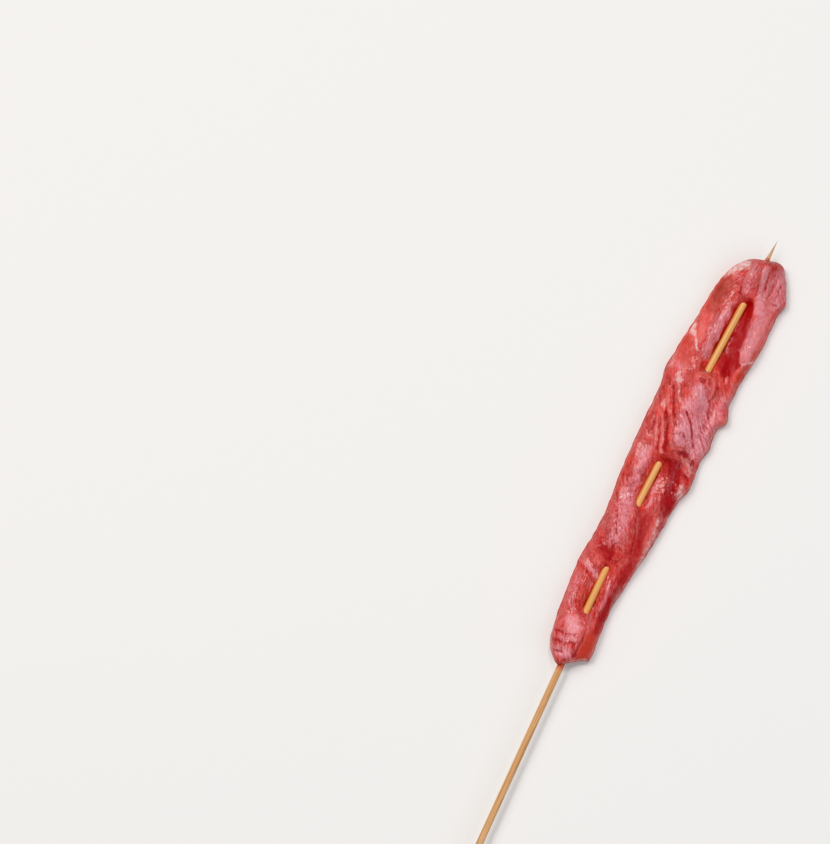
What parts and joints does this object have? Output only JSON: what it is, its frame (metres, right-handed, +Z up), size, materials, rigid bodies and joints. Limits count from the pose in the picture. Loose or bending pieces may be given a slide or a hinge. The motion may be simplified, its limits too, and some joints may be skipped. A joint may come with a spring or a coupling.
{
  "type": "raw beef kebab skewer",
  "caption": "Raw beef kebab skewer lying flat: a long slice of lean beef threaded in running stitches on a thin pointed bamboo stick.",
  "frame": {"origin": "on the table under the middle of the skewer's box; the meat lies on z = 0", "axes": "+Y along the stick towards its point, +Z up out of the shown side of the meat, +X to the right seen from above"},
  "size_m": [0.027, 0.3, 0.0111],
  "materials": {
    "raw_beef": "moist raw lean beef, satin to glossy",
    "bamboo": "plain split bamboo, uncoated, fine lengthwise fibres"
  },
  "bodies": {
    "root": {"beef_strip": "raw_beef", "bamboo_stick": "bamboo"}
  },
  "joints": []
}
